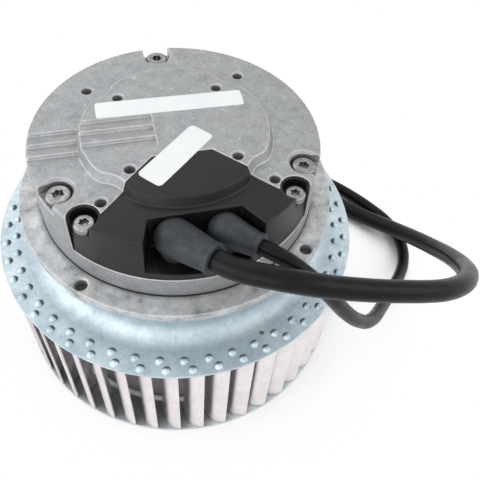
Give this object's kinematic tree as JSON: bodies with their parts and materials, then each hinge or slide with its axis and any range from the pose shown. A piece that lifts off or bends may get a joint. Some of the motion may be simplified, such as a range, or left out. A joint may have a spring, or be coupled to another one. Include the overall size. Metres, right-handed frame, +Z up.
{
  "type": "ventilation fan",
  "caption": "Centrifugal ventilation fan: forward-curved sheet-metal impeller on an external-rotor motor, cast electronics housing with a terminal cover on top, two flying cables.",
  "frame": {"origin": "on the spin axis, at the face of the inlet ring that the fan stands on", "axes": "+Z up along the spin axis to the electronics housing; the terminal cover and its cables face -Y; +X to the right seen from the cover"},
  "size_m": [0.2148, 0.1912, 0.1159],
  "materials": {
    "cast_aluminium": "as cast, shot blasted",
    "galvanised_sheet": "hot-dip galvanised, smooth",
    "deep_drawn_steel": "zinc plated",
    "lamination": "stamped",
    "copper_wire": "enamelled",
    "contact_brass": "bright",
    "bearing_steel": "ground",
    "spring_steel": "oiled",
    "zinc_screw": "zinc plated",
    "ferrite": "ground",
    "seal_rubber": "matte",
    "glass_epoxy": "solder masked",
    "capacitor_sleeve": "shrunk sleeve",
    "terminal_polyamide": "moulded",
    "cover_polyamide": "fine moulded grain",
    "boot_rubber": "matte",
    "cable_sheath": "satin",
    "supply_core_sheath": "satin",
    "control_core_sheath": "satin",
    "tinned_copper": "tinned"
  },
  "bodies": {
    "stator": {"motor_flange": "cast_aluminium", "stator_core": "lamination", "stator_windings": "copper_wire", "phase_pins": "contact_brass", "bearing_outer_rings": "bearing_steel", "bearing_balls": "bearing_steel", "bearing_spring": "spring_steel", "housing_gasket": "seal_rubber", "electronics_housing": "cast_aluminium", "housing_screws": "zinc_screw", "circuit_board": "glass_epoxy", "board_screws": "zinc_screw", "capacitors": "capacitor_sleeve", "filter_choke": "copper_wire", "terminal_block": "terminal_polyamide", "terminal_cover": "cover_polyamide", "cover_screws": "zinc_screw", "supply_boot": "boot_rubber", "control_boot": "boot_rubber", "supply_cable": "cable_sheath", "control_cable": "cable_sheath", "supply_cores": "supply_core_sheath", "control_cores": "control_core_sheath", "supply_ferrules": "tinned_copper", "control_ferrules": "tinned_copper"},
    "rotor": {"rotor_cup": "deep_drawn_steel", "rotor_magnets": "ferrite", "motor_shaft": "bearing_steel", "bearing_inner_rings": "bearing_steel", "shaft_circlip": "spring_steel", "impeller_back_plate": "galvanised_sheet", "impeller_blades": "galvanised_sheet", "inlet_ring": "galvanised_sheet", "impeller_rivets": "galvanised_sheet"}
  },
  "joints": [
    {"name": "impeller_spin", "type": "hinge", "parent": "stator", "child": "rotor", "pos_m": [0, 0, 0], "axis": [0, 0, 1], "continuous": true}
  ]
}
